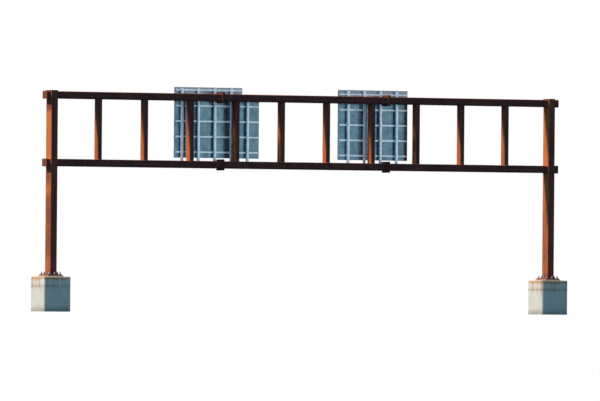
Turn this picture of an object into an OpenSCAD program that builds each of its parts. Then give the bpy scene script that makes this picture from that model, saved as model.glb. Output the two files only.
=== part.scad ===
// Overhead sign gantry in weathering steel.
// Two chords and ten uprights, all of box section, make one flat ladder truss with no diagonals.
// The truss is threaded through slots in two box posts, and each post stands on a concrete pedestal.
// Two road signs hang on the far side, on their own grid of aluminium beams.
// Origin: ground level, midway between the pedestals, in the middle plane of the truss.
// +X runs along the span, +Y points the way the sign faces look, +Z is up. Millimetres.

/* [Span] */
// Length of one bay, from the middle of one upright to the next
bay_len = 2450; // [2250:10:2650]
// Height of the bottom chord's centre line above the ground
bottom_chord_z = 7000; // [6500:10:8000]
// Distance between the centre lines of the two chords
chord_spacing = 3180; // [3100:10:3300]

/* [Chords] */
// Height of the chord's box section
chord_h = 350; // [320:5:400]
// Depth of the chord's box section, from front to back
chord_d = 450; // [400:5:480]
// Wall of the chord
chord_wall = 12; // [8:1:18]
// Outer corner radius of the chord
chord_r = 30; // [22:1:45]
// Length of chord that sticks out past the post
chord_tail = 200; // [120:5:280]
// Thickness of the plate that closes the end of a chord
tail_cap_t = 16; // [10:1:30]
// How far that plate stands proud of the chord all round
tail_cap_lip = 12; // [5:1:30]

/* [Chord splices] */
// Thickness of one splice flange
flange_t = 45; // [25:1:55]
// How far a splice flange stands proud of the chord all round
flange_lip = 90; // [80:1:110]
// Corner radius of a splice flange
flange_r = 25; // [10:1:40]
// Bolt hole in a splice flange
flange_hole_d = 33; // [24:1:36]
// Bolts along the top and the bottom row of a splice
flange_row_bolts = 5; // [3:1:6]
// Bolts between those rows on each side of a splice
flange_side_bolts = 2; // [1:1:3]

/* [Uprights] */
// Width of an upright, along the span
upright_w = 220; // [180:5:260]
// Depth of an upright, from front to back
upright_d = 380; // [330:5:400]
// Wall of an upright
upright_wall = 10; // [6:1:14]
// Outer corner radius of an upright
upright_r = 24; // [18:1:36]

/* [Posts] */
// Width of a post, along the span
post_w = 350; // [300:5:400]
// Depth of a post, from front to back
post_d = 560; // [545:5:620]
// Wall of a post
post_wall = 16; // [10:1:22]
// Outer corner radius of a post
post_r = 32; // [26:1:36]
// Height of a post above the top chord
post_rise = 30; // [15:5:120]
// Thickness of the plate that closes a post
post_cap_t = 20; // [10:1:40]
// How far that plate stands proud of the post all round
post_cap_lip = 15; // [5:1:40]
// Gap round a chord where it passes through a post
slot_gap = 0.3; // [0.2:0.1:0.6]

/* [Post feet] */
// Width of a base plate, along the span
base_plate_w = 760; // [720:5:860]
// Depth of a base plate, from front to back
base_plate_d = 960; // [940:5:1060]
// Thickness of a base plate
base_plate_t = 50; // [30:1:80]
// Corner radius of a base plate
base_plate_r = 40; // [20:1:60]
// Hole for an anchor rod
anchor_hole_d = 62; // [50:1:76]
// Distance of an anchor hole from the edge of the base plate
anchor_edge = 90; // [80:1:100]
// Distance between the two middle anchor holes on one side
anchor_pitch = 230; // [200:5:240]
// Thickness of the grout bed under a base plate
grout_t = 45; // [25:1:75]
// How far the grout bed reaches past the base plate
grout_lip = 40; // [20:5:80]
// Width of the sloping shoulder round the grout bed
grout_slope = 20; // [10:1:24]

/* [Pedestals] */
// Side of a square pedestal
pedestal_w = 1400; // [1300:10:1700]
// Height of a pedestal
pedestal_h = 1650; // [1200:10:2000]
// Chamfer along the top and the upright edges of a pedestal
pedestal_chamfer = 40; // [20:5:75]

/* [Right sign] */
// Distance of the right sign's inner edge from the middle of the span
right_sign_in = 2070; // [1900:10:2200]
// Width of the right sign
right_sign_w = 3810; // [3700:10:4400]
// Height of the right sign
right_sign_h = 3350; // [3300:10:3600]

/* [Left sign] */
// Distance of the left sign's inner edge from the middle of the span
left_sign_in = 2200; // [2100:10:2400]
// Width of the left sign's main panel
left_sign_w = 4570; // [4400:10:5200]
// Height of the left sign's main panel
left_sign_h = 2740; // [2500:10:2900]
// Width of the small panel above the main one
tab_w = 3660; // [3500:10:4200]
// Height of the small panel
tab_h = 600; // [500:10:800]
// Gap between the small panel and the main one
tab_gap = 10; // [4:1:30]

/* [Sign framing] */
// Height of the signs' lower edge above the bottom chord's upper face
sign_gap = 145; // [60:5:200]
// Thickness of a sign sheet
sheet_t = 4; // [2:0.5:8]
// Greatest width of one sheet
sheet_w = 1220; // [1100:10:1500]
// Seam between two sheets
sheet_seam = 3; // [2:0.5:6]
// Depth of a wind beam, from front to back
beam_d = 60; // [40:1:80]
// Width of a wind beam's flange
beam_w = 75; // [60:1:90]
// Thickness of a wind beam's flange and web
beam_t = 5; // [3:0.5:8]
// Distance between wind beams
beam_pitch = 730; // [680:10:780]
// Least distance of a wind beam's middle from the upper and the lower edge of its panel
beam_edge = 130; // [100:5:160]
// Distance of a wind beam's end from the side of its panel
beam_inset = 60; // [40:5:90]
// Depth of a hanger, from front to back
hanger_d = 125; // [100:1:150]
// Width of a hanger's flange
hanger_w = 100; // [80:1:110]
// Thickness of a hanger's flange
hanger_flange_t = 9; // [5:0.5:12]
// Thickness of a hanger's web
hanger_web_t = 7; // [4:0.5:10]
// Distance between hangers
hanger_pitch = 880; // [780:10:900]
// Distance from a splice to the hanger on its left
hanger_shift = 150; // [145:5:220]
// Least distance of a hanger's middle from the side of the panel that it carries
hanger_edge = 120; // [110:5:200]
// Distance of a hanger's top from the upper edge of the panel that it carries
hanger_inset = 50; // [30:5:90]
// Thickness of the seat between a chord and a hanger
seat_t = 20; // [12:1:40]
// Width of a hanger seat
seat_w = 150; // [120:5:180]
// Height of a hanger seat
seat_h = 220; // [160:5:260]

/* [Hidden] */
$fn = 48;
bays = 11;
uprights = bays - 1;

// The two ends of the span, as signs of X
left = -1;
right = 1;

// Lines of the span
half_span = bays * bay_len / 2;
splice_x = half_span / 3;
tail_x = half_span + post_w / 2 + chord_tail;
top_chord_z = bottom_chord_z + chord_spacing;

// Heights in a post
grout_top = pedestal_h + grout_t;
post_foot = grout_top + base_plate_t;
post_top = top_chord_z + chord_h / 2 + post_rise;

// Layers from the far face of the chords to the sign faces
seat_y = chord_d / 2;
hanger_y = seat_y + seat_t;
beam_y = hanger_y + hanger_d;
sheet_y = beam_y + beam_d;

// Edges of the signs, each as [left, right] and [bottom, top]
sign_bottom = bottom_chord_z + chord_h / 2 + sign_gap;
right_sign_span = [right_sign_in, right_sign_in + right_sign_w];
right_sign_rise = [sign_bottom, sign_bottom + right_sign_h];
left_sign_span = [-left_sign_in - left_sign_w, -left_sign_in];
left_sign_rise = [sign_bottom, sign_bottom + left_sign_h];
tab_span = [left_sign_span[0], left_sign_span[0] + tab_w];
tab_rise = [left_sign_rise[1] + tab_gap, left_sign_rise[1] + tab_gap + tab_h];

weathering_steel = [0.42, 0.22, 0.14];
pedestal_concrete = [0.80, 0.77, 0.70];
mill_aluminium = [0.72, 0.77, 0.80];
sign_green = [0.02, 0.36, 0.24];

// Places of n things spread evenly about zero
function spread(n, pitch) = [for (i = [0 : n - 1]) (i - (n - 1) / 2) * pitch];

// Whether a hanger's middle at x lies well inside a panel
function inside(x, span) = x >= span[0] + hanger_edge && x <= span[1] - hanger_edge;

// Hangers behind a panel. They are set out from the splice, so that none fouls its flanges.
function hanger_places(span, splice) = [
    for (i = [-bays : bays])
        let (x = splice - hanger_shift + i * hanger_pitch)
            if (inside(x, span)) x
];

// Wind beams up a panel: as many as fit at the usual pitch, and never fewer than two
function beam_places(rise) =
    let (
        room = rise[1] - rise[0] - 2 * beam_edge,
        count = max(2, floor(room / beam_pitch) + 1)
    )
    [for (z = spread(count, min(beam_pitch, room / (count - 1)))) (rise[0] + rise[1]) / 2 + z];

right_hangers = hanger_places(right_sign_span, splice_x);
left_hangers = hanger_places(left_sign_span, -splice_x);

// Bolts of one splice flange, halfway across its lip, as [y, z]
flange_rows_z = (chord_h + flange_lip) / 2;
flange_sides_y = (chord_d + flange_lip) / 2;
flange_bolts = [
    for (y = spread(flange_row_bolts, 2 * flange_sides_y / (flange_row_bolts - 1)))
        for (z = [-flange_rows_z, flange_rows_z])
            [y, z],
    for (z = spread(flange_side_bolts, 2 * flange_rows_z / (flange_side_bolts + 1)))
        for (y = [-flange_sides_y, flange_sides_y])
            [y, z]
];

// Anchor rods of one base plate, as [x, y]
anchor_x = base_plate_w / 2 - anchor_edge;
anchor_y = base_plate_d / 2 - anchor_edge;
anchors = [
    for (y = [-anchor_y, -anchor_pitch / 2, anchor_pitch / 2, anchor_y])
        for (x = [-anchor_x, anchor_x])
            [x, y],
    [0, -anchor_y],
    [0, anchor_y]
];

// Profiles

module rounded_rect(w, d, r) {
    for (x = [-1, 1])
        for (y = [-1, 1])
            translate([x * (w / 2 - r), y * (d / 2 - r)])
                circle(r);
    square([w - 2 * r, d], center = true);
    square([w, d - 2 * r], center = true);
}

// Rolled box section, as thick in its corners as in its sides
module box_section(w, d, wall, r) {
    difference() {
        rounded_rect(w, d, r);
        rounded_rect(w - 2 * wall, d - 2 * wall, r - wall);
    }
}

// I section that stands on its rear flange, with its depth along +Y
module i_section(w, d, flange, web) {
    for (y = [0, d - flange])
        translate([-w / 2, y])
            square([w, flange]);
    translate([-web / 2, flange / 2])
        square([web, d - flange]);
}

// A rectangle whose corners are cut off: the upper two, or all four
module cut_corners(w, h, c, lower = 0) {
    polygon([
        [-w / 2 + lower, 0],
        [w / 2 - lower, 0],
        [w / 2, lower],
        [w / 2, h - c],
        [w / 2 - c, h],
        [-w / 2 + c, h],
        [-w / 2, h - c],
        [-w / 2, lower]
    ]);
}

// Ways to place a profile

// Runs it along X, with its own X pointing along +Y and its own Y pointing up
module along_x(x0, x1) {
    translate([x0, 0, 0])
        rotate([90, 0, 90])
            linear_extrude(x1 - x0)
                children();
}

// Runs it up, between two heights
module upwards(z0, z1) {
    translate([0, 0, z0])
        linear_extrude(z1 - z0)
            children();
}

module at_post(side) {
    translate([side * half_span, 0, 0])
        children();
}

// Pedestals and feet

// Block with a chamfer round its top and down its four upright edges
module chamfered_block(w, d, h, c) {
    intersection() {
        translate([0, -d / 2, 0])
            linear_extrude(h)
                cut_corners(w, d, c, c);
        along_x(-w / 2, w / 2)
            cut_corners(d, h, c);
        rotate([0, 0, 90])
            along_x(-d / 2, d / 2)
                cut_corners(w, h, c);
    }
}

module pedestal(side) {
    color(pedestal_concrete)
        at_post(side)
            chamfered_block(pedestal_w, pedestal_w, pedestal_h, pedestal_chamfer);
}

module grout_bed(side) {
    color(pedestal_concrete)
        at_post(side)
            translate([0, 0, pedestal_h])
                chamfered_block(base_plate_w + 2 * grout_lip, base_plate_d + 2 * grout_lip, grout_t, grout_slope);
}

module base_plate(side) {
    color(weathering_steel)
        at_post(side)
            upwards(grout_top, post_foot)
                difference() {
                    rounded_rect(base_plate_w, base_plate_d, base_plate_r);
                    for (p = anchors)
                        translate(p)
                            circle(d = anchor_hole_d);
                }
}

// Posts

// Box post with a slot through both of its narrow walls at each chord
module post(side) {
    color(weathering_steel)
        at_post(side)
            difference() {
                upwards(post_foot, post_top)
                    box_section(post_w, post_d, post_wall, post_r);
                for (z = [bottom_chord_z, top_chord_z])
                    translate([0, 0, z])
                        along_x(-post_w, post_w)
                            rounded_rect(chord_d + 2 * slot_gap, chord_h + 2 * slot_gap, chord_r + slot_gap);
            }
}

module post_cap(side) {
    color(weathering_steel)
        at_post(side)
            upwards(post_top, post_top + post_cap_t)
                rounded_rect(post_w + 2 * post_cap_lip, post_d + 2 * post_cap_lip, post_r + post_cap_lip);
}

// Chords

// One shop length of chord at height z
module chord_length(x0, x1, z) {
    color(weathering_steel)
        translate([0, 0, z])
            along_x(x0, x1)
                box_section(chord_d, chord_h, chord_wall, chord_r);
}

// The length from the tail to the splice, on the left or the right
module outer_chord(side, z) {
    ends = [side * tail_x, side * (splice_x + flange_t)];
    chord_length(min(ends), max(ends), z);
}

module middle_chord(z) {
    chord_length(flange_t - splice_x, splice_x - flange_t, z);
}

module chord_end_caps(side) {
    color(weathering_steel)
        for (z = [bottom_chord_z, top_chord_z])
            translate([side * (tail_x + tail_cap_t / 2), 0, z])
                along_x(-tail_cap_t / 2, tail_cap_t / 2)
                    rounded_rect(chord_d + 2 * tail_cap_lip, chord_h + 2 * tail_cap_lip, chord_r + tail_cap_lip);
}

// One flange, whose middle lies at x
module splice_flange(x, z) {
    color(weathering_steel)
        translate([x, 0, z])
            along_x(-flange_t / 2, flange_t / 2)
                difference() {
                    rounded_rect(chord_d + 2 * flange_lip, chord_h + 2 * flange_lip, flange_r);
                    for (p = flange_bolts)
                        translate(p)
                            circle(d = flange_hole_d);
                }
}

module outer_flange(side, z) {
    splice_flange(side * (splice_x + flange_t / 2), z);
}

module middle_flanges(z) {
    for (side = [left, right])
        splice_flange(side * (splice_x - flange_t / 2), z);
}

module upright(k) {
    color(weathering_steel)
        translate([k * bay_len - half_span, 0, 0])
            upwards(bottom_chord_z + chord_h / 2, top_chord_z - chord_h / 2)
                box_section(upright_w, upright_d, upright_wall, upright_r);
}

// Sign framing and signs

module hanger_seats(places) {
    color(weathering_steel)
        for (x = places)
            for (z = [bottom_chord_z, top_chord_z])
                translate([x - seat_w / 2, seat_y, z - seat_h / 2])
                    cube([seat_w, seat_t, seat_h]);
}

module hanger(x, top) {
    color(mill_aluminium)
        translate([x, hanger_y, 0])
            upwards(bottom_chord_z - seat_h / 2, top)
                i_section(hanger_w, hanger_d, hanger_flange_t, hanger_web_t);
}

// Behind the main panel a hanger ends at the top chord, unless it carries the small panel too
module hangers_left() {
    for (x = left_hangers)
        hanger(x, inside(x, tab_span) ? tab_rise[1] - hanger_inset : top_chord_z + seat_h / 2);
}

module hangers_right() {
    for (x = right_hangers)
        hanger(x, right_sign_rise[1] - hanger_inset);
}

module wind_beams(span, rise) {
    color(mill_aluminium)
        for (z = beam_places(rise))
            along_x(span[0] + beam_inset, span[1] - beam_inset)
                translate([beam_y, z])
                    rotate(-90)
                        i_section(beam_w, beam_d, beam_t, beam_t);
}

module wind_beams_left() {
    wind_beams(left_sign_span, left_sign_rise);
    wind_beams(tab_span, tab_rise);
}

// As many equal sheets side by side as the panel's width takes, with a seam between each two
module sign_sheets(span, rise) {
    panel_w = span[1] - span[0];
    count = ceil(panel_w / sheet_w);
    one_w = (panel_w - (count - 1) * sheet_seam) / count;
    color(sign_green)
        for (i = [0 : count - 1])
            translate([span[0] + i * (one_w + sheet_seam), sheet_y, rise[0]])
                cube([one_w, sheet_t, rise[1] - rise[0]]);
}

pedestal(left);  // pedestal_left
pedestal(right);  // pedestal_right
grout_bed(left);  // grout_bed_left
grout_bed(right);  // grout_bed_right
base_plate(left);  // base_plate_left
base_plate(right);  // base_plate_right
post(left);  // post_left
post(right);  // post_right
post_cap(left);  // post_cap_left
post_cap(right);  // post_cap_right
outer_chord(left, top_chord_z);  // top_chord_left
middle_chord(top_chord_z);  // top_chord_middle
outer_chord(right, top_chord_z);  // top_chord_right
outer_chord(left, bottom_chord_z);  // bottom_chord_left
middle_chord(bottom_chord_z);  // bottom_chord_middle
outer_chord(right, bottom_chord_z);  // bottom_chord_right
chord_end_caps(left);  // chord_end_caps_left
chord_end_caps(right);  // chord_end_caps_right
outer_flange(left, top_chord_z);  // top_flange_left
middle_flanges(top_chord_z);  // top_flanges_middle
outer_flange(right, top_chord_z);  // top_flange_right
outer_flange(left, bottom_chord_z);  // bottom_flange_left
middle_flanges(bottom_chord_z);  // bottom_flanges_middle
outer_flange(right, bottom_chord_z);  // bottom_flange_right
for (k = [1 : uprights])
    upright(k);
hanger_seats(left_hangers);  // hanger_seats_left
hanger_seats(right_hangers);  // hanger_seats_right
hangers_left();
hangers_right();
wind_beams_left();
wind_beams(right_sign_span, right_sign_rise);  // wind_beams_right
sign_sheets(left_sign_span, left_sign_rise);  // sign_panel_left
sign_sheets(tab_span, tab_rise);  // sign_tab_left
sign_sheets(right_sign_span, right_sign_rise);  // sign_panel_right
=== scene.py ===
# %% [markdown]
# # Overhead sign gantry
# The frame of this object is already solid: box sections, plates and sheets come from the CAD
# model with their true sizes. This script dresses it. It makes the small hardware that holds such
# a gantry together, the finishes that weather has left on it, and the light and the camera.
# Lengths are metres. X runs along the span, +Y is where the sign faces look, and Z is up.

# %% Load the frame
from math import cos, pi, radians, sin

import bpy
import numpy as np
from mathutils import Matrix, Quaternion, Vector


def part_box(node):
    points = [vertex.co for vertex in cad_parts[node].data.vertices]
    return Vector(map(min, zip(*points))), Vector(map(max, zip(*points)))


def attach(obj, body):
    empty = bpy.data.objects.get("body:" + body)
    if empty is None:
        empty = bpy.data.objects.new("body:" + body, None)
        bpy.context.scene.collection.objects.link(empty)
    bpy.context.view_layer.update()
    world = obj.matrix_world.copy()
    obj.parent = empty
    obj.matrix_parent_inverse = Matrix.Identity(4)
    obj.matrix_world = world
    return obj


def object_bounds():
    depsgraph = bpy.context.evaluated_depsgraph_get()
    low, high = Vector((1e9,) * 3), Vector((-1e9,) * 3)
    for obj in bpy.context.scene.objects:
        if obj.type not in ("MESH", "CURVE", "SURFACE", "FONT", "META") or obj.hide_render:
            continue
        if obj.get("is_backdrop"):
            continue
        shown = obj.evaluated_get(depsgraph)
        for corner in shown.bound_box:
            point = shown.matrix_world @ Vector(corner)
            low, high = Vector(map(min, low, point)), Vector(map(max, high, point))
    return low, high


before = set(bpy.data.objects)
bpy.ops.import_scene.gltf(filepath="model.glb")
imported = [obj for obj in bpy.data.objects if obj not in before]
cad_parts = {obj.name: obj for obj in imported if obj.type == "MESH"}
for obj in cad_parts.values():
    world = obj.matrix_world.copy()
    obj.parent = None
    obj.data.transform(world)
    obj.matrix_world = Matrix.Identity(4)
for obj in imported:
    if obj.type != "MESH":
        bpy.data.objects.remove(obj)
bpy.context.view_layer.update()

scene = bpy.context.scene


def rounded(values, digits=3):
    return [round(value, digits) for value in values]


# %% [markdown]
# ## Lines of the frame
# Every small piece below sits on a solid, so its place is read from that solid's box and not typed
# again. Only what a box can't tell is written here: corner radii, walls, and the pitch of bars that
# share one node.

# %% Lines of the frame
def middle_of(node):
    low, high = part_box(node)
    return (low + high) / 2


def size_of(node):
    low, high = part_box(node)
    return high - low


post_x = middle_of("post_right").x
levels = (middle_of("bottom_chord_middle").z, middle_of("top_chord_middle").z)
_, chord_deep, chord_high = size_of("top_chord_middle")
post_wide, post_deep, _ = size_of("post_right")
upright_wide, upright_deep, _ = size_of("upright_1")
chord_corner, post_corner, upright_corner = 0.030, 0.032, 0.024
bays = 11
bay = post_x * 2 / bays
splice_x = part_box("top_flange_right")[0].x
flange_thick, flange_deep, flange_high = size_of("top_flange_right")
chord_face = chord_deep / 2
pedestal_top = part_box("pedestal_right")[1].z
plate_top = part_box("base_plate_right")[1].z
post_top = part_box("post_right")[1].z
chord_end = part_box("top_chord_right")[1].x
print("levels", rounded(levels), "bay", round(bay, 3), "splices at", round(splice_x, 3))

# %% Hangers and beams of the signs
behind_signs = ("hangers_right", "wind_beams_right", "sign_panel_right")
hanger_y, beam_y, sheet_y = (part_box(node)[0].y for node in behind_signs)
_, sheet_front, sign_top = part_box("sign_panel_right")[1]
hanger_pitch, hanger_wide, hanger_skin = 0.88, 0.100, 0.009
beam_pitch, beam_edge, beam_inset, beam_skin = 0.73, 0.13, 0.06, 0.005


def hanger_row(node):
    """The middles of the hangers that share a node."""
    low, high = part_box(node)
    count = round((high.x - low.x - hanger_wide) / hanger_pitch) + 1
    return [low.x + hanger_wide / 2 + i * hanger_pitch for i in range(count)]


def beam_levels(panel):
    """The heights of the wind beams behind a panel."""
    low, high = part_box(panel)
    room = high.z - low.z - 2 * beam_edge
    count = max(2, int(room / beam_pitch) + 1)
    pitch = min(beam_pitch, room / (count - 1))
    return [(low.z + high.z) / 2 + (i - (count - 1) / 2) * pitch for i in range(count)]


hangers = {side: hanger_row("hangers_" + side) for side in ("left", "right")}
panels = {"left": ["sign_panel_left", "sign_tab_left"], "right": ["sign_panel_right"]}
print("hangers", {side: rounded(row) for side, row in hangers.items()})
print("beams", {panel: rounded(beam_levels(panel)) for row in panels.values() for panel in row})

# %% [markdown]
# ## Camera
# The gantry was seen from far off with a long lens, so near and far ends look the same size. A
# short lens close by would fit it in the picture too, but its perspective would be wrong. The
# camera stands 478 m away, 28.6 degrees off square, at a person's eye level, and leans by less than
# half a degree. It aims at the middle of the gantry, which keeps the lens shift at zero.

# %% Camera
off_square = radians(28.6)
distance, eye_level = 478.0, 1.5
lens = bpy.data.cameras.new("long_lens")
lens.sensor_width, lens.lens = 36, 602.4
lens.clip_start, lens.clip_end = 50, 9000
camera = bpy.data.objects.new("camera", lens)
scene.collection.objects.link(camera)
scene.camera = camera
camera.location = (-distance * sin(off_square), -distance * cos(off_square), eye_level)
gantry_middle, lean = Vector((-0.14, 0.07, 5.36)), radians(-0.45)
aim = gantry_middle - camera.location
camera.rotation_mode = "QUATERNION"
camera.rotation_quaternion = Quaternion(aim, lean) @ aim.to_track_quat("-Z", "Y")
scene.view_settings.view_transform = "Standard"
print("camera at", rounded(camera.location, 1), "lens", round(lens.lens, 1), "mm")

# %% [markdown]
# ## Writing a finish as sums
# A procedural finish is mostly arithmetic on masks: where is it wet, how rusty is it, how far is it
# from an edge. Wiring Math nodes by hand hides that arithmetic. Here a wire from a socket is wrapped
# in a small class, so that `1 - wet * 0.4` adds the Math nodes by itself. Colours and directions
# never go through Math nodes, which would turn them grey. They go through Mix and Vector Math.

# %% Wires and recipes
class Wire:
    """The output of a node. Sums on it add Math nodes to its recipe."""

    def __init__(self, recipe, socket):
        self.recipe, self.socket = recipe, socket

    def sum(self, operation, *values):
        return self.recipe.add("Math", {"operation": operation}, dict(enumerate(values)))

    def __add__(self, other):
        return self.sum("ADD", self, other)

    def __sub__(self, other):
        return self.sum("SUBTRACT", self, other)

    def __rsub__(self, other):
        return self.sum("SUBTRACT", other, self)

    def __mul__(self, other):
        return self.sum("MULTIPLY", self, other)

    def __truediv__(self, other):
        return self.sum("DIVIDE", self, other)

    def __pow__(self, other):
        return self.sum("POWER", self, other)

    def __gt__(self, other):
        return self.sum("GREATER_THAN", self, other)

    def __lt__(self, other):
        return self.sum("LESS_THAN", self, other)

    def __abs__(self):
        return self.sum("ABSOLUTE", self)

    __radd__, __rmul__ = __add__, __mul__

    def most(self, other):
        return self.sum("MAXIMUM", self, other)

    def least(self, other):
        return self.sum("MINIMUM", self, other)

    def between(self, low, high):
        """0 up to low, 1 from high, and a soft step between. It falls where low is above high."""
        ends = {"Value": self, "From Min": low, "From Max": high}
        return self.recipe.add("MapRange", {"interpolation_type": "SMOOTHSTEP"}, ends)

    def choose(self, colour_at_0, colour_at_1):
        """A colour that goes from the one to the other as this mask goes from 0 to 1."""
        # a Mix node has sockets for every kind of value: 6, 7 and output 2 are the ones for colours
        colours = {0: self, 6: colour_at_0, 7: colour_at_1}
        return self.recipe.add("Mix", {"data_type": "RGBA"}, colours, out=2)

    def output(self, name):
        """Another output of the same node."""
        return Wire(self.recipe, self.socket.node.outputs[name])


class Recipe:
    """The nodes of one finish, or of the world."""

    def __init__(self, tree):
        self.tree = tree
        tree.nodes.clear()

    def add(self, kind, settings=None, sockets=None, out=0):
        """Adds a node, sets it up, fills or links its sockets and returns one of its outputs."""
        node = self.tree.nodes.new("ShaderNode" + kind)
        for name, value in (settings or {}).items():
            if name == "stops":
                ramp = node.color_ramp.elements
                while len(ramp) < len(value):
                    ramp.new(0.5)
                for stop, (position, colour) in zip(ramp, value):
                    stop.position, stop.color = position, (*colour, 1)
            else:
                setattr(node, name, value)
        for name, value in (sockets or {}).items():
            socket = node.inputs[name]
            if isinstance(value, Wire):
                self.tree.links.new(value.socket, socket)
            elif socket.type == "RGBA" and len(value) == 3:
                socket.default_value = (*value, 1)
            else:
                socket.default_value = value
        return Wire(self, node.outputs[out]) if node.outputs else None

    def stretch(self, at, by):
        return self.add("VectorMath", {"operation": "MULTIPLY"}, {0: at, 1: by})

    def clouds(self, at, scale, detail=4, roughness=0.6):
        looks = {"Vector": at, "Scale": scale, "Detail": detail, "Roughness": roughness}
        return self.add("TexNoise", {}, looks)

    def cells(self, at, scale, feature="F1", out=0):
        return self.add("TexVoronoi", {"feature": feature}, {"Vector": at, "Scale": scale}, out=out)


print("wires and recipes are ready")

# %% [markdown]
# ## Light and floor
# One soft sun lamp stands high over the left end of the span, a little to the side that the signs
# face, as in the photograph. It lights the posts' left faces and leaves the side that the camera sees
# in shade. A bright dome would be simpler, but it would flatten the frame. The background is white
# because the world and the floor look white to the camera and in reflections. To bounced light they
# are only as bright as a clear sky and open country, so that the shaded steel stays deep.

# %% Light and floor
towards_sun = Vector((-0.76, 0.18, 1.0)).normalized()
lamp = bpy.data.lights.new("sun", "SUN")
lamp.energy, lamp.angle, lamp.color = 3.95, radians(6.0), (1.0, 0.955, 0.88)
sun = bpy.data.objects.new("sun", lamp)
sun.rotation_euler = (-towards_sun).to_track_quat("-Z", "Y").to_euler()
scene.collection.objects.link(sun)
print("sun", round(lamp.energy, 2), "towards", rounded(towards_sun, 2))

# %% World and floor
white, clear_sky, open_country = (1.0, 1.0, 1.0), (0.135, 0.30, 0.485), (0.048, 0.075, 0.063)


def seen_or_mirrored(recipe):
    """1 where a ray comes from the camera, a reflection or a pane, and 0 for bounced light."""
    rays = recipe.add("LightPath", out="Is Camera Ray")
    return rays.most(rays.output("Is Glossy Ray")).most(rays.output("Is Transmission Ray"))


world = bpy.data.worlds.new("sky")
scene.world = world
world.use_nodes = True
sky = Recipe(world.node_tree)
sky_colour = seen_or_mirrored(sky).choose(clear_sky, white)
sky.add("OutputWorld", {}, {"Surface": sky.add("Background", {}, {"Color": sky_colour})})

ground_paint = bpy.data.materials.new("pale_floor")
ground_paint.use_nodes = True
ground = Recipe(ground_paint.node_tree)
seen = seen_or_mirrored(ground)
# under this sun and sky the painted part comes out as even white, and it takes the shadow
pale_paint, glow_share = (0.90, 0.81, 0.745), 0.57
painted = ground.add("BsdfDiffuse", {}, {"Color": seen.choose(open_country, pale_paint)})
glow = ground.add("Emission", {}, {"Color": white, "Strength": 1.0})
floor_look = ground.add("MixShader", {}, {0: seen * glow_share, 1: painted, 2: glow})
ground.add("OutputMaterial", {}, {"Surface": floor_look})
floor_mesh = bpy.data.meshes.new("floor")
floor_half = 4000
corners = [(x * floor_half, y * floor_half, 0) for x, y in ((-1, -1), (1, -1), (1, 1), (-1, 1))]
floor_mesh.from_pydata(corners, [], [(0, 1, 2, 3)])
floor_mesh.materials.append(ground_paint)
floor = bpy.data.objects.new("floor", floor_mesh)
scene.collection.objects.link(floor)
floor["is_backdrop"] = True
print("floor", 2 * floor_half, "m wide, seen as white and bounced as", open_country)

# %% [markdown]
# ## Weathering steel
# The frame is bare steel that rusts once and then keeps its rust as a skin. Sides that face the sun
# are made orange, as sun-dried rust and as painted sunlight, and the other sides stay purple brown as
# sheltered rust and as painted shade. The heads of the uprights and the left post's outer face below
# its tails are darkened as painted shade. The lower posts are made duller, and the feet stay damp.
# One picture texture could not cover 28 m of frame at bolt size, so the rust is worked out from the
# place in metres: broad patches, a hand-sized mottle, speckle, fine grain, pits and upright runs are
# summed to one number, the tone, and a ramp turns the tone into a colour. The weights in the sums
# were set one by one.

# %% Start and end of a finish
def start_finish(name):
    """A new finish: its recipe, the place on the object in metres, and the way the surface faces."""
    paint = bpy.data.materials.new(name)
    paint.use_nodes = True
    recipe = Recipe(paint.node_tree)
    at = recipe.add("TexCoord", out="Object")
    return paint, recipe, at, at.output("Normal")


def close_finish(recipe, colour, roughness, height, depth, metallic=0.0, specular=0.5, coat=0.0):
    """Ends a finish with its shader. height is a relief, and depth is how deep it goes in metres."""
    relief = recipe.add("Bump", {}, {"Height": height, "Distance": depth, "Strength": 1.0})
    shader = recipe.add("BsdfPrincipled", {}, {
        "Base Color": colour, "Roughness": roughness, "Metallic": metallic, "Normal": relief,
        "Specular IOR Level": specular, "Coat Weight": coat, "Coat Roughness": 0.25})
    recipe.add("OutputMaterial", {}, {"Surface": shader})


def split(recipe, vector):
    """The X, Y and Z of a place or a direction."""
    x = recipe.add("SeparateXYZ", {}, {0: vector})
    return x, x.output("Y"), x.output("Z")


print("every finish starts from its place in metres and ends in one shader")

# %% Weathering steel
rust_tones = [
    (0.00, (0.060, 0.026, 0.032)),
    (0.25, (0.130, 0.042, 0.044)),
    (0.50, (0.270, 0.076, 0.046)),
    (0.75, (0.490, 0.124, 0.043)),
    (1.00, (0.700, 0.205, 0.060)),
]
undersides = [level - chord_high / 2 for level in levels]
wet_line = 0.035  # how far above its underside a chord stays wet
dulled_below = 5.9  # how high the lower posts are made duller
# painted shadow below each tail of the left post: the tail's underside, how far down it reaches, and where
# it is full
painted_tail_shadows = ((undersides[0], 1.35, 0.42), (undersides[1], 0.74, 0.40))


def dull_low_and_shade_tails(sun_dried_and_lit, x, y, z, patches, runs):
    """The post's sun-dried and lit share, made duller low down, and as painted shadow below the left tails.
    """
    # the lower posts are made duller, and the left one most of all
    wavy = z + 0.9 * (patches - 0.5)
    dullest_low_patch = (x < 0) * wavy.between(dulled_below, dulled_below - 0.7) * wavy.between(2.3, 3.3)
    sun_dried_and_lit = sun_dried_and_lit * (1 - 0.46 * wavy.between(dulled_below, dulled_below - 1)) * (1 - 0.55 * dullest_low_patch)
    # painted shadow: the left post's outer face is darkened below each tail
    outer = (x < -post_x - post_wide * 0.45) * abs(y).between(0.32, 0.22)
    for edge, reach, full in painted_tail_shadows:
        tail_shadow = outer * (z < edge) * (z + 0.5 * (runs - 0.5)).between(edge - reach, edge - full)
        sun_dried_and_lit = sun_dried_and_lit * (1 - 0.9 * tail_shadow)
    return sun_dried_and_lit


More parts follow.
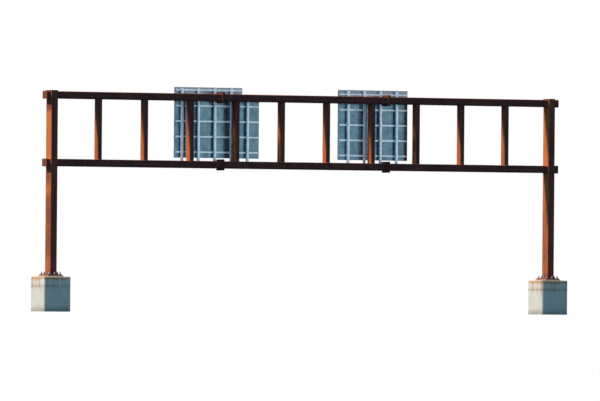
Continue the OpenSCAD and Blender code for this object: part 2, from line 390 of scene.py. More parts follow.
def rusty(name, lift=0.0, painted_sun_by=0.42, runs_by=0.5, drip_edges=(), foot=None, head=None):
    """Weathering steel. Water hangs along drip_edges and stands at the foot; below head, painted shade."""
    paint, recipe, at, facing = start_finish(name)
    x, y, z = split(recipe, at)
    up = split(recipe, facing)[2]
    lamp_facing = recipe.add(
        "VectorMath", {"operation": "DOT_PRODUCT"}, {0: facing, 1: towards_sun}, out="Value")
    patches = recipe.clouds(at, 0.9, 5)
    mottle = recipe.clouds(at, 7.5, 6, 0.68)
    speckle = recipe.clouds(at, 38, 5, 0.8)
    grain = recipe.clouds(at, 150, 4, 0.8)
    flakes = recipe.cells(at, 160)
    pits = recipe.cells(at, 62).between(0.30, 0.12) * recipe.clouds(at, 11, 3).between(0.48, 0.60)
    runs = recipe.clouds(recipe.stretch(at, (19, 19, 0.55)), 1, 5, 0.62)
    thin_runs = recipe.clouds(recipe.stretch(at, (85, 85, 1.9)), 1, 4, 0.65)
    upright_face = abs(up).between(0.7, 0.3)
    # sun-dried rust and painted light: sides that face the lamp are made orange, and the others stay dark
    # as painted shade
    sun_dried_and_lit = lamp_facing.between(-0.05, 0.45)
    # painted shade: the uprights are darkened for a stretch below head, the top chord's underside
    if head is not None:
        sun_dried_and_lit = sun_dried_and_lit * (1 - 0.8 * (z + 0.5 * (runs - 0.5)).between(head - 1.9, head - 0.3))
    if foot is not None:
        sun_dried_and_lit = dull_low_and_shade_tails(sun_dried_and_lit, x, y, z, patches, runs)
    tone = (
        0.40 + lift + painted_sun_by * sun_dried_and_lit
        + 0.50 * (patches - 0.5) + 0.55 * (mottle - 0.5)
        + 0.60 * (speckle - 0.5) + 0.50 * (grain - 0.5)
        + runs_by * upright_face * ((runs - 0.5) + 0.45 * (thin_runs - 0.5)) - 0.16 * pits
    )
    for edge in drip_edges:
        near = abs(z - edge - wet_line).between(0.055 + 0.05 * (mottle - 0.5), 0.0)
        tone = tone - 0.20 * near * upright_face
    # sheltered rust and painted shade: faces that look down are made darker
    tone = tone - 0.12 * up.between(-0.5, -0.9)
    if foot is not None:
        tone = tone - 0.28 * (z + 0.35 * (mottle - 0.5)).between(foot + 0.42, foot - 0.1)
    colour = recipe.add("ValToRGB", {"stops": rust_tones}, {0: tone})
    height = 0.4 * speckle + 0.4 * grain + 0.2 * flakes - 0.3 * pits
    close_finish(recipe, colour, 0.97 - 0.22 * (mottle * grain), height, 0.0022, specular=0.07)
    return paint


print("rust tones", len(rust_tones), "undersides", rounded(undersides))

# %% Eight kinds of rusty steel
chord_steel = rusty("weathering_steel_chords", lift=-0.07, drip_edges=undersides)
upright_steel = rusty("weathering_steel_uprights", runs_by=0.75, head=undersides[1])
post_steel = rusty("weathering_steel_posts", lift=0.04, painted_sun_by=0.57, runs_by=0.85, foot=plate_top)
plate_steel = rusty("weathering_steel_plates", lift=-0.12, painted_sun_by=0.34)
cap_steel = rusty("weathering_steel_caps", lift=-0.12, painted_sun_by=0.22)
flange_steel = rusty("weathering_steel_flanges", lift=-0.24, painted_sun_by=0.05, runs_by=0.2)
weld_steel = rusty("weathering_steel_welds", lift=0.05, runs_by=0.2)
bolt_steel = rusty("weathering_steel_bolts", lift=-0.16, painted_sun_by=0.15, runs_by=0.1)
steels = (
    chord_steel, upright_steel, post_steel, plate_steel, cap_steel, flange_steel, weld_steel, bolt_steel)
print("finishes of steel", [paint.name for paint in steels])

# %% [markdown]
# ## Concrete pedestals
# Each pedestal was cast in one pour between plywood forms. What tells it from a plain block is small:
# blotches from uneven curing, round plugs where the form ties were, pinholes from trapped air, and a
# line where two forms met, which holds damp. Rust washes off the steel above and stands on the top,
# so orange runs start at the edge, thin out below and gather again at the line. The masks use the
# place on each face, worked out from X and Y, which is simpler than unwrapping the block and has no
# seams at its edges.

# %% Concrete
form_line, tie_rows, tie_out = 1.22, (0.40, 1.02), 0.42


def pedestal_finish():
    paint, recipe, at, facing = start_finish("pedestal_concrete")
    x, y, z = split(recipe, at)
    nx, ny, nz = split(recipe, facing)
    side = abs(nz).between(0.6, 0.4)
    # how far along its face a place lies, from the middle of the face
    along = (abs(nx) > 0.7) * y + (abs(ny) > 0.7) * (abs(x) - post_x)
    blotches = recipe.clouds(at, 2.3, 5)
    cloud = recipe.clouds(at, 14, 6, 0.65)
    sand = recipe.clouds(at, 260, 3, 0.7)
    pinholes = recipe.cells(at, 34).between(0.16, 0.08) * (recipe.clouds(at, 5, 2) > 0.53)
    plug = 0
    for row in tie_rows:
        aside, off = abs(along) - tie_out, z - row
        plug = ((aside * aside + off * off) ** 0.5).between(0.021, 0.017) * side + plug
    line = abs(z - form_line - 0.004 * (cloud - 0.5)).between(0.009, 0.002) * side
    under_line = (form_line - z).between(0.16 + 0.20 * (cloud - 0.5), 0.01) * (z < form_line) * side
    rim = abs(abs(x) - post_x)
    wash = recipe.clouds(recipe.stretch(at, (6.5, 6.5, 0.30)), 1, 4, 0.6)
    fine_wash = recipe.clouds(recipe.stretch(at, (38, 38, 0.8)), 1, 3, 0.6)
    below = pedestal_top - z
    reach = (wash - 0.40) * 3.2
    run = (below / reach.most(0.02)).between(1.0, 0.0) * (0.45 + fine_wash * 0.9)
    edge_rust = below.between(0.20, 0.0) * (0.35 + 1.1 * wash)
    line_rust = abs(z - form_line).between(0.16, 0.0) * wash.between(0.36, 0.66) * 0.65
    off_grout = (abs(y) - 0.52).most(rim - 0.42)
    near_grout = off_grout.between(0.26 * cloud + 0.12, 0.0) * nz.between(0.3, 0.8)
    ponded = nz.between(0.3, 0.9) * (0.30 + 0.55 * (blotches - 0.5) + 0.35 * (cloud - 0.5))
    on_sides = side * (run * 0.74 + edge_rust * 0.84 + line_rust)
    rust = (on_sides + near_grout * 0.70 + ponded).most(0).least(0.92)
    splash = (z + 0.30 * (cloud - 0.5) + 0.12 * (blotches - 0.5)).between(0.34, 0.02) * side
    shade = (0.5 + 1.5 * (blotches - 0.5) + 0.8 * (cloud - 0.5) + 0.25 * (sand - 0.5)).most(0).least(1)
    colour = shade.choose((0.74, 0.665, 0.56), (0.92, 0.835, 0.71))
    # dirt and painted shade: the tops are darker, which also holds the sunlit top back from white
    colour = (0.45 * nz.between(0.3, 0.8)).choose(colour, (0.40, 0.34, 0.26))
    colour = (0.5 * (z - form_line).between(-0.004, 0.004) * side).choose(colour, (0.92, 0.85, 0.75))
    colour = (0.42 * under_line * wash.between(0.25, 0.60)).choose(colour, (0.27, 0.235, 0.185))
    colour = (0.6 * line + 0.45 * plug + 0.75 * pinholes).choose(colour, (0.17, 0.155, 0.135))
    colour = (0.55 * splash).choose(colour, (0.26, 0.225, 0.155))
    colour = rust.choose(colour, (0.69, 0.320, 0.110))
    height = 0.35 * cloud + 0.18 * sand - 0.8 * pinholes - 1.4 * plug - 0.8 * line
    close_finish(recipe, colour, 0.80 + 0.15 * cloud, height, 0.003, specular=0.2)
    return paint


concrete = pedestal_finish()
print("pedestal ties at", tie_rows, "form line at", form_line)

# %% [markdown]
# ## Grout
# The base plate was levelled on its rods, and then the gap below it was packed with mortar. That bed
# is darker and coarser than the pedestal, and the same rust runs over it. It is only 45 mm high, so
# two clouds and one wash are enough: the pedestal's plugs and lines would have no room on it.

# %% Grout
def grout_finish():
    paint, recipe, at, _ = start_finish("grout")
    cloud = recipe.clouds(at, 18, 5)
    sand = recipe.clouds(at, 240, 3, 0.7)
    wash = recipe.clouds(recipe.stretch(at, (22, 22, 2)), 1, 3)
    colour = cloud.choose((0.24, 0.225, 0.20), (0.46, 0.43, 0.38))
    colour = wash.between(0.38, 0.62).choose(colour, (0.42, 0.17, 0.06))
    close_finish(recipe, colour, 0.85 + 0.1 * sand, 0.6 * cloud + 0.4 * sand, 0.003, specular=0.2)
    return paint


grout = grout_finish()
print("grout between the plate at", round(plate_top, 3), "and the pedestal at", round(pedestal_top, 3))

# %% [markdown]
# ## Sign sheets and their frame
# The signs are aluminium. From behind, the sheets are bare rolled metal, streaked with chalk. Their
# colour is tinted blue as a painted reflection of a clear sky, and they are made paler along the top as
# painted light. They are still smooth enough to mirror the uprights as dark bands. The beams that
# stiffen the sheets are paler and duller, and tinted blue in the same way. In front, a green film covers
# the sheets. Such film throws light back from a honeycomb of tiny cells, which shows close up as a faint
# net. One finish serves both sides of a sheet: it asks which way the surface faces, and only the +Y
# side gets the film. Two finishes on two thin layers would work too, but would flicker where they meet.

# %% Aluminium frame and sheets
def frame_finish():
    paint, recipe, at, _ = start_finish("sign_frame_aluminium")
    cloud = recipe.clouds(at, 6, 5)
    drawn = recipe.clouds(recipe.stretch(at, (2, 160, 160)), 1, 3)
    spots = recipe.cells(at, 45).between(0.30, 0.12)
    dull = (cloud + 0.5 * (drawn - 0.5)).between(0.30, 0.75)
    # painted reflection: the blue in both colours stands for a clear sky mirrored in the metal
    colour = dull.choose((0.68, 0.85, 0.98), (0.56, 0.73, 0.87))
    colour = (0.30 * spots).choose(colour, (0.76, 0.85, 0.92))
    close_finish(recipe, colour, 0.38 + 0.2 * dull, 0.5 * drawn + 0.5 * cloud, 0.0006, metallic=0.66)
    return paint


def honeycomb(recipe, at):
    """The net of cells, about 3 mm wide, in a film that throws light back."""
    flat = recipe.stretch(at, (300, 0, 300))
    return recipe.cells(flat, 1, "DISTANCE_TO_EDGE").between(0.16, 0.04)


def sheet_finish():
    paint, recipe, at, facing = start_finish("sign_sheet")
    z = split(recipe, at)[2]
    front = split(recipe, facing)[1] > 0.5
    runs = recipe.clouds(recipe.stretch(at, (16, 16, 0.6)), 1, 4)
    cloud = recipe.clouds(at, 3.2, 5)
    rolled = recipe.clouds(recipe.stretch(at, (240, 240, 3)), 1, 2)
    dull = (cloud + 0.55 * (runs - 0.5)).between(0.30, 0.72)
    # painted reflection: the back is tinted blue for a clear sky mirrored in the metal
    back_with_painted_sky = dull.choose((0.132, 0.248, 0.318), (0.078, 0.164, 0.228))
    chalk = recipe.clouds(recipe.stretch(at, (55, 55, 0.9)), 1, 4, 0.65).between(0.52, 0.72)
    back_with_painted_sky = (0.20 * chalk).choose(back_with_painted_sky, (0.26, 0.34, 0.40))
    # painted light: the edge that stands clear of the chord is made paler
    painted_lighter = (z + 0.25 * (runs - 0.5)).between(sign_top - 0.42, sign_top - 0.10)
    back_with_painted_sky = (0.55 * painted_lighter).choose(back_with_painted_sky, (0.27, 0.29, 0.34))
    net = honeycomb(recipe, at)
    faded = 0.5 + 0.8 * (cloud - 0.5) + 0.9 * (runs - 0.5)
    film = faded.choose((0.0, 0.118, 0.058), (0.004, 0.165, 0.088))
    film = (0.35 * net).choose(film, (0.01, 0.235, 0.135))
    dusty = recipe.clouds(recipe.stretch(at, (30, 1, 1.2)), 1, 4).between(0.52, 0.75)
    film = (0.16 * dusty).choose(film, (0.20, 0.24, 0.19))
    colour = front.choose(back_with_painted_sky, film)
    rough = front * (0.36 + 0.12 * cloud) + (1 - front) * (0.14 + 0.16 * dull + 0.10 * chalk)
    height = (1 - front) * (0.6 * rolled + 0.4 * cloud) + front * 0.5 * net
    close_finish(recipe, colour, rough, height, 0.0004, metallic=(1 - front) * 0.88, coat=front * 0.35)
    return paint


frame_aluminium, sign_sheet = frame_finish(), sheet_finish()
print("sheets turn chalky by streaks and are washed from", round(sign_top - 0.42, 2), "m up")

# %% [markdown]
# ## Border film and zinc
# The signs' border is the same kind of film in white, greyed by dirt that runs down it. The rods,
# studs and clip bolts were dipped in molten zinc, which sets as flat crystals, each a little lighter or
# darker than the next. Clouds of noise would blur them, so every cell of a Voronoi texture takes a
# grey of its own. Rust comes through where the zinc has worn away, most of all on the rods.

# %% Border film and zinc
def border_finish():
    paint, recipe, at, _ = start_finish("sign_border")
    net = honeycomb(recipe, at)
    grey = recipe.clouds(recipe.stretch(at, (9, 1, 1.4)), 1, 5)
    colour = grey.between(0.35, 0.75).choose((0.80, 0.81, 0.79), (0.66, 0.66, 0.62))
    colour = (0.25 * net).choose(colour, (0.60, 0.62, 0.62))
    close_finish(recipe, colour, 0.34 + 0.15 * grey, net, 0.0003, coat=0.3)
    return paint


def galvanised_finish(name, rust_by):
    """Zinc-coated steel: a patchwork of dull crystals, with rust where the zinc has worn through."""
    paint, recipe, at, _ = start_finish(name)
    crystals = recipe.cells(at, 120, out="Color")
    grey = recipe.add("RGBToBW", {}, {0: crystals})
    cloud = recipe.clouds(at, 30, 5)
    worn = (cloud + 0.25 * (grey - 0.5)).between(0.66 - 0.30 * rust_by, 0.80 - 0.30 * rust_by)
    colour = (0.5 * grey + 0.5 * cloud).choose((0.30, 0.31, 0.32), (0.56, 0.58, 0.60))
    colour = worn.choose(colour, (0.30, 0.11, 0.045))
    close_finish(recipe, colour, 0.5 + 0.35 * worn, cloud, 0.0008, metallic=(1 - worn) * 0.6)
    return paint


border_film = border_finish()
anchor_zinc = galvanised_finish("galvanised_anchors", rust_by=0.75)
clip_zinc = galvanised_finish("galvanised_clips", rust_by=0.1)
print("films and zinc", border_film.name, anchor_zinc.name, clip_zinc.name)

# %% [markdown]
# ## Dressing the solids
# The solids keep their shape, and only their finish changes. Each kind of member has its own version
# of the rust, because water hangs under a chord, runs down a post and stands on a plate, and because
# each takes its own share of painted sunlight and shade.

# %% Dress the solids
dress = {
    "pedestal": concrete, "grout": grout, "base": plate_steel, "post": post_steel,
    "top": chord_steel, "bottom": chord_steel, "chord": plate_steel, "upright": upright_steel,
    "hanger": plate_steel, "hangers": frame_aluminium, "wind": frame_aluminium, "sign": sign_sheet,
}
for name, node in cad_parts.items():
    finish = dress[name.split("_")[0]]
    if "flange" in name:
        finish = flange_steel
    if "cap" in name:
        finish = cap_steel
    for place in node.material_slots:
        place.material = finish
print("dressed", len(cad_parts), "solids")

# %% [markdown]
# ## Making many small things
# A gantry has hundreds of nuts, bolts and clips. Hundreds of separate objects would be slow, and an
# instance for each would be hard to export. Instead each thing is made once as a list of points and
# faces, copied to its places with one matrix each, and all copies are joined into one mesh.

# %% Turned parts and hexagons
chance = np.random.default_rng(11)


def turned(rings, sides, flats=None):
    """A part turned on a lathe about Z, from rings of (height, radius). flats makes it a hexagon."""
    turn = 2 * pi * np.arange(sides) / sides
    limit = np.full(sides, np.inf)
    if flats is not None:
        limit = flats / 2 / np.cos((turn + pi / 6) % (pi / 3) - pi / 6)
    points = []
    for height, radius in rings:
        reach = np.minimum(radius, limit)
        points.append(np.c_[reach * np.cos(turn), reach * np.sin(turn), np.full(sides, height)])
    faces = [
        [i * sides + j, i * sides + (j + 1) % sides, (i + 1) * sides + (j + 1) % sides, (i + 1) * sides + j]
        for i in range(len(rings) - 1) for j in range(sides)
    ]
    last = (len(rings) - 1) * sides
    return np.vstack(points), faces + [list(range(sides))[::-1], [last + j for j in range(sides)]]


def hexagon(low, high, flats):
    """A nut or a bolt head, with its corners turned off at both ends."""
    bevel, end, corner = 0.075 * flats, 0.47 * flats, 0.6 * flats
    return turned([(low, end), (low + bevel, corner), (high - bevel, corner), (high, end)], 24, flats)


print("a nut has", len(hexagon(0, 0.046, 0.075)[1]), "faces")


# %% Joining and placing
def together(*parts):
    """One part from several."""
    points, faces, start = [], [], 0
    for more, with_faces in parts:
        points.append(more)
        faces += [[i + start for i in face] for face in with_faces]
        start += len(more)
    return np.vstack(points), faces


def placed(part, at, along=(0, 0, 1), spin=0.0):
    """A copy of a part, with its Z axis laid along a direction and the part spun about it."""
    turn = Vector(along).to_track_quat("Z", "Y").to_matrix() @ Matrix.Rotation(spin, 3, "Z")
    return part[0] @ np.array(turn).T + np.array(at), part[1]


def piece(name, parts, finish, crease=32):
    """Joins the parts into one object, parented to the root body's empty."""
    points, faces = together(*parts)
    mesh = bpy.data.meshes.new(name)
    mesh.from_pydata(points.tolist(), [], faces)
    mesh.shade_smooth()
    mesh.set_sharp_from_angle(angle=radians(crease))
    mesh.materials.append(finish)
    made = bpy.data.objects.new(name, mesh)
    scene.collection.objects.link(made)
    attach(made, "root")
    print(name, "parts", len(parts), "triangles", sum(len(face) - 2 for face in faces))
    return made


print("parts can be turned, placed and joined into pieces")

# %% [markdown]
# ## Anchor rods
# Ten threaded rods, cast into each pedestal, come up through the base plate. On each sit a plate
# washer, a heavy nut and a thin lock nut, and two fingers of thread are left over. The thread is a
# real helix: one line of crests and one of roots are wound side by side and joined by faces, which is
# cheaper than a screw modifier and gives the same groove.

# %% Anchor rods
anchor_out, anchor_far, anchor_near = 0.29, 0.39, 0.115
anchor_rows = (-anchor_far, -anchor_near, anchor_near, anchor_far)
anchor_places = [(x, y) for x in (-anchor_out, anchor_out) for y in anchor_rows]
anchor_places += [(0, -anchor_far), (0, anchor_far)]


def thread(radius, pitch, low, high, sides=18):
    """Crests and roots, wound as two lines about Z."""
    steps = int((high - low) / pitch * sides)
    turn = 2 * pi * np.arange(steps + 1) / sides
    rise = low + pitch * np.arange(steps + 1) / sides
    root = radius - 0.6 * pitch
    crests = np.c_[radius * np.cos(turn), radius * np.sin(turn), rise]
    roots = np.c_[root * np.cos(turn), root * np.sin(turn), rise + pitch / 2]
    second = steps + 1
    faces = [[i, i + 1, second + i + 1, second + i] for i in range(steps)]
    faces += [[second + i, second + i + 1, i + 1 + sides, i + sides] for i in range(steps - sides)]
    return np.vstack([crests, roots]), faces


rod, nut_flats = 0.024, 0.075
washer_top, nut_top, lock_top = 0.012, 0.058, 0.084
heavy_nut = together(
    turned([(0, 0.050), (0.002, 0.052), (0.010, 0.052), (washer_top, 0.050)], 32),
    hexagon(washer_top, nut_top, nut_flats))
lock_nut = hexagon(nut_top, lock_top, nut_flats)
rod_end = together(
    thread(rod, pitch=0.005, low=0.080, high=0.126),
    turned([(0.075, rod * 0.86), (0.120, rod * 0.86), (0.128, rod * 0.90), (0.132, rod * 0.78)], 18))
for side, middle in (("left", -post_x), ("right", post_x)):
    parts = []
    for x, y in anchor_places:
        lift = chance.uniform(-0.012, 0.006)
        at = (middle + x, y, plate_top)
        parts.append(placed(heavy_nut, at, spin=chance.uniform(0, 1)))
        parts.append(placed(lock_nut, at, spin=chance.uniform(0, 1)))
        parts.append(placed(rod_end, (middle + x, y, plate_top + lift), spin=chance.uniform(0, 6)))
    piece("anchor_rods_" + side, parts, anchor_zinc)

# %% [markdown]
# ## Splice bolts
# The chords came to site in three lengths each. At both joints two thick flanges meet face to face,
# and fourteen heavy bolts clamp them. Heads are on the outer side, nuts on the inner one, with a
# hard washer under each.

# %% Splice bolts
# the bolts sit halfway across the lip of the flange
bolt_y, bolt_z = (flange_deep + chord_deep) / 4, (flange_high + chord_high) / 4
splice_places = [(y, z) for y in np.linspace(-bolt_y, bolt_y, 5) for z in (-bolt_z, bolt_z)]
splice_places += [(y, z) for y in (-bolt_y, bolt_y) for z in (-bolt_z / 3, bolt_z / 3)]


def bolt(shank, flats, head, nut, washer, grip, stub):
    """A bolt along Z whose head bears at 0 and whose nut bears at the grip."""
    rim, bearing = flats * 0.6, grip + washer
    end = bearing + nut
    return together(
        hexagon(-washer - head, -washer, flats),
        turned([(-washer, rim * 0.97), (-washer * 0.7, rim), (0, rim)], 24),
        turned([(grip, rim), (grip + washer * 0.7, rim), (bearing, rim * 0.97)], 24),
        hexagon(bearing, end, flats),
        turned([(end - 0.002, shank / 2), (end + stub * 0.8, shank / 2), (end + stub, shank * 0.42)], 14),
    )


splice_bolt = bolt(
    shank=0.030, flats=0.050, head=0.019, nut=0.029, washer=0.005, grip=2 * flange_thick, stub=0.009)
parts = []
for level in levels:
    for side in (-1, 1):
        for y, z in splice_places:
            head = (side * (splice_x + flange_thick), y, level + z)
            parts.append(placed(splice_bolt, head, (-side, 0, 0), chance.uniform(0, 1)))
piece("splice_bolts", parts, bolt_steel)

# %% [markdown]
# ## Weld beads
# Every joint that isn't bolted is welded, and a weld is never a sharp inner corner. It is a small
# rounded fillet with ripples, one for each step of the welder's hand. Each bead here is a small
# section swept round the outline of the member, and it swells and shrinks a little at every step.
# Only its four outer sides get faces, because the other two lie inside the steel. A bevel on the
# solids would give the fillet but not the ripples.

# %% Outlines
def corner_arcs(width, height, radius):
    """Where the four arcs of a rounded rectangle start to turn, and their middles."""
    for quarter in range(4):
        across = 1 if quarter in (0, 3) else -1
        upward = 1 if quarter in (0, 1) else -1
        middle = np.array([(width / 2 - radius) * across, (height / 2 - radius) * upward])
        yield quarter * pi / 2, middle


def outline(width, height, radius, step):
    """Points round a rounded rectangle, and the way out at each."""
    points, out = [], []
    for quarter, (start, middle) in enumerate(corner_arcs(width, height, radius)):
        for turn in np.linspace(start, start + pi / 2, max(3, int(radius * pi / 2 / step)) + 1):
            way = np.array([cos(turn), sin(turn)])
            points.append(middle + radius * way)
            out.append(way)
        straight = (width if quarter % 2 == 0 else height) - 2 * radius
        onward = np.array([-sin(turn), cos(turn)])
        pieces_of_side = max(1, int(straight / step))
        for i in range(1, pieces_of_side):
            points.append(middle + radius * way + onward * straight * i / pieces_of_side)
            out.append(way)
    return np.array(points), np.array(out)


print("a chord's outline has", len(outline(chord_deep, chord_high, chord_corner, 0.006)[0]), "points")

# %% Weld beads
# corners of the section, as shares of the leg: out from the member and up along it
bead_section = np.array([
    (-0.25, -0.25), (1.0, -0.25), (0.86, 0.33), (0.58, 0.60), (0.31, 0.87), (-0.25, 1.0)])


def bead(points, out, up, leg):
    """A fillet round a closed line. out leads away from the member, and up along it."""
    count = len(points)
    swell = leg * (1 + 0.09 * np.cos(pi * np.arange(count)) + chance.normal(0, 0.03, count))
    rings = [
        points[i] + swell[i] * (bead_section[:, :1] * out[i] + bead_section[:, 1:] * up)
        for i in range(count)]
    sides = len(bead_section)
    faces = []
    for i in range(count):
        onward = (i + 1) % count
        faces += [
            [i * sides + j, onward * sides + j, onward * sides + j + 1, i * sides + j + 1]
            for j in range(1, sides - 1)]
    return np.vstack(rings), faces


def weld_round(width, height, radius, leg, at, up, step=0.006):
    """A bead round a rounded rectangle, in the plane that the direction up stands on."""
    flat, way = outline(width, height, radius, step)
    axes = {0: (1, 2), 1: (0, 2), 2: (0, 1)}[int(np.argmax(np.abs(up)))]
    points, out = np.tile(np.array(at, float), (len(flat), 1)), np.zeros((len(flat), 3))
    for column, axis in enumerate(axes):
        points[:, axis] += flat[:, column]
        out[:, axis] = way[:, column]
    return bead(points, out, np.array(up, float), leg)


print("a bead's section has", len(bead_section), "corners")

# %% Welds of the frame
chord_outline = (chord_deep, chord_high, chord_corner)
post_outline = (post_wide, post_deep, post_corner)
upright_outline = (upright_wide, upright_deep, upright_corner)
soft = 60  # ripples up to this angle are shaded as smooth
# the beads on a chord's right half: where each stands, the way that it runs up the chord, and its leg
chord_beads = [
    (splice_x + flange_thick, 1, 0.012), (splice_x - flange_thick, -1, 0.012), (chord_end, -1, 0.009),
    (post_x + post_wide / 2, 1, 0.013), (post_x - post_wide / 2, -1, 0.013),
]
chord_welds = [
    weld_round(*chord_outline, leg, (side * x, 0, level), (side * way, 0, 0))
    for level in levels for side in (-1, 1) for x, way, leg in chord_beads]
piece("chord_welds", chord_welds, weld_steel, soft)

ends = [(levels[0] + chord_high / 2, 1), (levels[1] - chord_high / 2, -1)]
upright_welds = [
    weld_round(*upright_outline, 0.010, (k * bay - post_x, 0, z), (0, 0, way), step=0.007)
    for k in range(1, bays) for z, way in ends]
piece("upright_welds", upright_welds, weld_steel, soft)

post_welds = []
for middle in (-post_x, post_x):
    post_welds.append(weld_round(*post_outline, 0.014, (middle, 0, plate_top), (0, 0, 1), step=0.005))
    post_welds.append(weld_round(*post_outline, 0.010, (middle, 0, post_top), (0, 0, -1)))
piece("post_welds", post_welds, weld_steel, soft)

# %% [markdown]
# ## Hanger seats
# The aluminium hangers must not touch bare steel, which would eat them, so each is bolted to a steel
# seat that is welded on the chord's far face. Four studs and nuts hold it at each chord.

# %% Seat studs
seat_outline = (0.150, 0.220, 0.001)
stud_places = [(dx, dz) for dx in (-0.030, 0.030) for dz in (-0.072, 0.072)]
stud = together(
    turned([(0, 0.0145), (0.002, 0.015), (0.003, 0.0145)], 20), hexagon(0.003, 0.018, 0.024),
    turned([(0.016, 0.008), (0.025, 0.008), (0.027, 0.0065)], 12))
for side, row in hangers.items():
    studs, beads = [], []
    for x in row:
        for level in levels:
            at_seat = (x, chord_face, level)
            beads.append(weld_round(*seat_outline, 0.009, at_seat, (0, 1, 0), step=0.007))
            for dx, dz in stud_places:
                at = (x + dx, hanger_y + hanger_skin, level + dz)
                studs.append(placed(stud, at, (0, 1, 0), chance.uniform(0, 1)))
    piece("seat_studs_" + side, studs, clip_zinc)
    piece("seat_welds_" + side, beads, weld_steel, soft)

# %% [markdown]
# ## Sign clips
# The beams behind a sign aren't drilled into the hangers. A cast clip on each side hooks behind the
# hanger's flange and is bolted to the beam, so the sign can be shifted before the bolts are tight.
# The clip is a short length of a stepped bar, with its edges rounded by a bevel modifier.

# %% The clip and its bolt
clip_back, clip_half = -0.0195, 0.0165
# across the hanger from its middle, and along Y from the back of the beam
hook = [
    (0.0530, 0), (0.0900, 0), (0.0900, -0.0145), (0.0840, clip_back), (0.0400, -0.0210), (0.0400, -0.0092),
    (0.0530, -0.0092)]


def bar(section, low, high):
    """A straight length of bar along Z, from the corners of its section."""
    count = len(section)
    points = np.array([(x, y, z) for z in (low, high) for x, y in section])
    faces = [[i, (i + 1) % count, count + (i + 1) % count, count + i] for i in range(count)]
    return points, faces + [list(range(count))[::-1], [count + i for i in range(count)]]


clip_flats = 0.019
clip_bolt = together(
    hexagon(-0.0105, -0.0025, clip_flats), turned([(-0.0025, 0.0125), (-0.0005, 0.0125), (0, 0.012)], 16),
    hexagon(0.0245, 0.0350, clip_flats), turned([(0.034, 0.006), (0.0395, 0.006), (0.041, 0.005)], 10))
print("clip", 2 * clip_half, "m high, of", len(hook), "corners")

# %% Sign clips
clip_off_web, clip_bolt_out = 0.0195, 0.072
for side, row in hangers.items():
    clips, bolts = [], []
    for panel in panels[side]:
        low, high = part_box(panel)
        for z in beam_levels(panel):
            for x in row:
                if not low.x < x < high.x:
                    continue
                for way in (-1, 1):
                    # the left clip sits below the beam's web and the right one above it
                    shape = [(way * px, py) for px, py in hook][::way]
                    middle = z + way * clip_off_web
                    points, faces = bar(shape, -clip_half, clip_half)
                    clips.append((points + np.array([x, beam_y, middle]), faces))
                    at = (x + way * clip_bolt_out, beam_y + clip_back, middle)
                    bolts.append(placed(clip_bolt, at, (0, 1, 0), chance.uniform(0, 1)))
    cast = piece("sign_clips_" + side, clips, frame_aluminium)
    soften = cast.modifiers.new("cast_edges", "BEVEL")
    soften.width, soften.segments, soften.limit_method = 0.0022, 2, "ANGLE"
    piece("clip_bolts_" + side, bolts, clip_zinc)

# %% [markdown]
# ## Rivets
# Rivets hold the sheets to the beams. Their low domes show through the film in front as a grid of
# pimples, and their tails show behind. Along each beam they step from one side of its web to the
# other, and they keep clear of the seams between the sheets.

# %% Rivets
sheet_limit, seam = 1.22, 0.003
rivet_pitch, rivet_margin, rivet_off_web = 0.15, 0.03, 0.019
rivet = turned(
    [(-0.0005, 0.0075), (0.0008, 0.0074), (0.0022, 0.0060), (0.0032, 0.0034), (0.0035, 0.0010)], 14)
tail = turned([(0, 0.0052), (0.0045, 0.0052), (0.0062, 0.0036), (0.0080, 0.0034)], 10)


def rivet_row(low, high):
    """Places along a beam, sheet by sheet."""
    wide = high - low
    sheets = int(np.ceil(wide / sheet_limit))
    one = (wide - (sheets - 1) * seam) / sheets
    row = []
    for i in range(sheets):
        first, last = low + i * (one + seam), low + i * (one + seam) + one
        first += rivet_margin if i else beam_inset + rivet_margin
        last -= rivet_margin if i < sheets - 1 else beam_inset + rivet_margin
        row += list(np.linspace(first, last, int((last - first) / rivet_pitch) + 1))
    return row


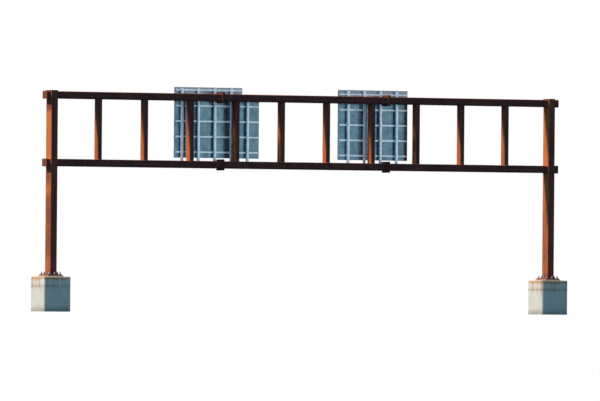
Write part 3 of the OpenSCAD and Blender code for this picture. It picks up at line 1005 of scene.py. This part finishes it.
for side in panels:
    domes, tails = [], []
    for panel in panels[side]:
        low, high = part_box(panel)
        for z in beam_levels(panel):
            for i, x in enumerate(rivet_row(low.x, high.x)):
                level = z + (rivet_off_web if i % 2 else -rivet_off_web)
                domes.append(placed(rivet, (x, sheet_front, level), (0, 1, 0)))
                tails.append(placed(tail, (x, sheet_y - beam_skin, level), (0, -1, 0)))
    piece("rivet_heads_" + side, domes, sign_sheet)
    piece("rivet_tails_" + side, tails, frame_aluminium)

# %% [markdown]
# ## Sign borders
# A guide sign carries a white line round its edge with generously rounded corners. It is a film of
# its own, laid on the green one, so it is a thin ring and not a painted mask: its edge stays crisp
# at any distance. The signs are blank inside it, for whoever uses the part to letter.

# %% Sign borders
film_edge, film_inset = 0.0002, 0.019


def ring(low, high, width, radius, back, front):
    """A flat rounded ring of film, set in from the edges of a panel, between two depths."""
    loops = []
    for depth, shrink in ((back, 0), (front, film_edge), (front, width - film_edge), (back, width)):
        wide, tall = (high[i] - low[i] - 2 * (film_inset + shrink) for i in (0, 2))
        arc = radius - shrink
        round_it = np.array([
            middle + arc * np.array([cos(turn), sin(turn)])
            for start, middle in corner_arcs(wide, tall, arc)
            for turn in np.linspace(start, start + pi / 2, 24)])
        across, up = round_it[:, 0] + (low[0] + high[0]) / 2, round_it[:, 1] + (low[2] + high[2]) / 2
        loops.append(np.c_[across, np.full(len(round_it), depth), up])
    count = len(loops[0])
    faces = [
        [k * count + i, (k + 1) * count + i, (k + 1) * count + (i + 1) % count, k * count + (i + 1) % count]
        for k in range(3) for i in range(count)]
    return np.vstack(loops), faces


film_back, film_front = sheet_front - 0.0001, sheet_front + 0.0006
for name, panel, width, radius in (
        ("border_right", "sign_panel_right", 0.051, 0.30), ("border_left", "sign_panel_left", 0.051, 0.30),
        ("border_tab", "sign_tab_left", 0.038, 0.13)):
    line = ring(*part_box(panel), width, radius, film_back, film_front)
    piece(name, [line], border_film)

# %% [markdown]
# ## Size of the dressed gantry
# The box round the dressed gantry is measured and printed. Nothing that was added reaches past the
# solids. A picture would show the size too, but only to the nearest pixel.

# %% Size of the dressed gantry
low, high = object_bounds()
print("visual box", rounded(low, 4), rounded(high, 4))
